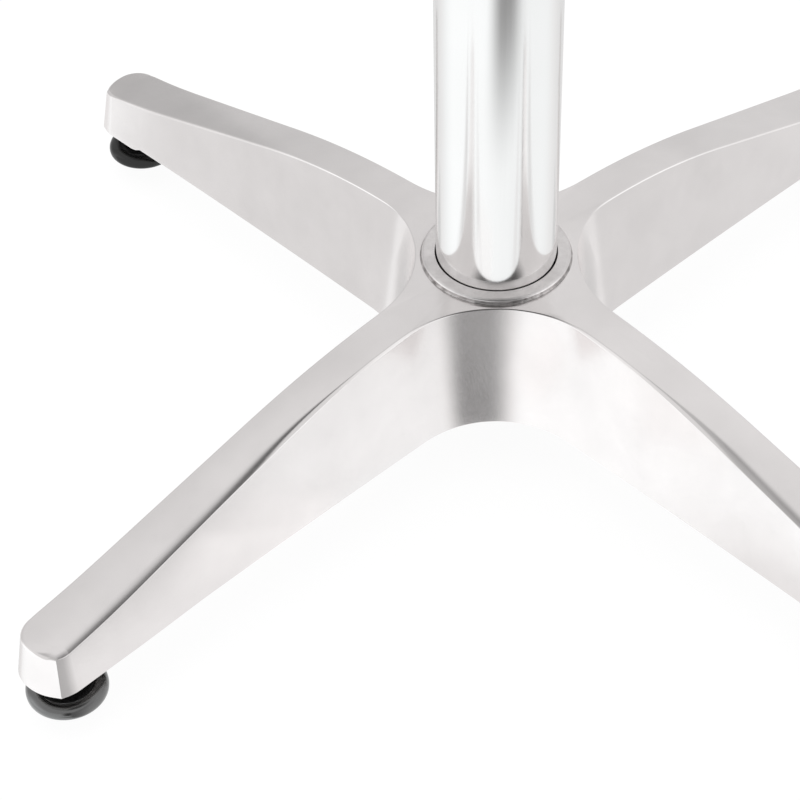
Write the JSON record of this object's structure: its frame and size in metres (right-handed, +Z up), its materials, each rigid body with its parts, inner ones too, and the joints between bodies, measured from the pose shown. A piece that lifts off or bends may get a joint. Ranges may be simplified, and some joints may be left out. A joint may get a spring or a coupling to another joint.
{
  "type": "table pedestal base",
  "caption": "Cast aluminium pedestal base: legs spread from a hub, a tube column held by a tie rod under a flat top plate, and screw-in levelling feet.",
  "frame": {"origin": "on the floor under the column's axis, at the middle of the bounding box's underside", "axes": "+Z up along the column; the legs lie on the diagonals of X and Y, and the picture's near side is -Y"},
  "size_m": [0.4416, 0.4416, 0.72],
  "materials": {
    "cast_aluminium": "satin-polished casting",
    "polished_aluminium": "polished tube",
    "spider_aluminium": "as-cast, lightly blasted",
    "zinc_steel": "zinc plated",
    "black_plastic": "glossy moulded"
  },
  "bodies": {
    "base": {"base_casting": "cast_aluminium", "column_tube": "polished_aluminium", "tie_rod": "zinc_steel", "base_plate_washer": "zinc_steel", "base_spring_washer": "zinc_steel", "base_rod_nut": "zinc_steel", "top_spider": "spider_aluminium", "top_plate_washer": "zinc_steel", "top_rod_nut": "zinc_steel", "foot_nut_back_right": "zinc_steel", "foot_nut_back_left": "zinc_steel", "foot_nut_front_left": "zinc_steel", "foot_nut_front_right": "zinc_steel"},
    "pad_back_right": {"foot_pad_back_right": "black_plastic"},
    "stud_back_right": {"foot_stud_back_right": "zinc_steel"},
    "pad_back_left": {"foot_pad_back_left": "black_plastic"},
    "stud_back_left": {"foot_stud_back_left": "zinc_steel"},
    "pad_front_left": {"foot_pad_front_left": "black_plastic"},
    "stud_front_left": {"foot_stud_front_left": "zinc_steel"},
    "pad_front_right": {"foot_pad_front_right": "black_plastic"},
    "stud_front_right": {"foot_stud_front_right": "zinc_steel"}
  },
  "joints": [
    {"name": "foot_height_back_right", "type": "slide", "parent": "base", "child": "pad_back_right", "axis": [0, 0, -1], "range_m": [-0.002, 0.012]},
    {"name": "stud_turn_back_right", "type": "hinge", "parent": "pad_back_right", "child": "stud_back_right", "pos_m": [0.20053, 0.20053, 0], "axis": [0, 0, -1], "range_deg": [-576, 3456]},
    {"name": "foot_height_back_left", "type": "slide", "parent": "base", "child": "pad_back_left", "axis": [0, 0, -1], "range_m": [-0.002, 0.012]},
    {"name": "stud_turn_back_left", "type": "hinge", "parent": "pad_back_left", "child": "stud_back_left", "pos_m": [-0.20053, 0.20053, 0], "axis": [0, 0, -1], "range_deg": [-576, 3456]},
    {"name": "foot_height_front_left", "type": "slide", "parent": "base", "child": "pad_front_left", "axis": [0, 0, -1], "range_m": [-0.002, 0.012]},
    {"name": "stud_turn_front_left", "type": "hinge", "parent": "pad_front_left", "child": "stud_front_left", "pos_m": [-0.20053, -0.20053, 0], "axis": [0, 0, -1], "range_deg": [-576, 3456]},
    {"name": "foot_height_front_right", "type": "slide", "parent": "base", "child": "pad_front_right", "axis": [0, 0, -1], "range_m": [-0.002, 0.012]},
    {"name": "stud_turn_front_right", "type": "hinge", "parent": "pad_front_right", "child": "stud_front_right", "pos_m": [0.20053, -0.20053, 0], "axis": [0, 0, -1], "range_deg": [-576, 3456]}
  ],
  "couplings": [
    {"joint": "foot_height_back_right", "follows": "stud_turn_back_right", "m_per_rad": 0.00019894},
    {"joint": "foot_height_back_left", "follows": "stud_turn_back_left", "m_per_rad": 0.00019894},
    {"joint": "foot_height_front_left", "follows": "stud_turn_front_left", "m_per_rad": 0.00019894},
    {"joint": "foot_height_front_right", "follows": "stud_turn_front_right", "m_per_rad": 0.00019894}
  ]
}
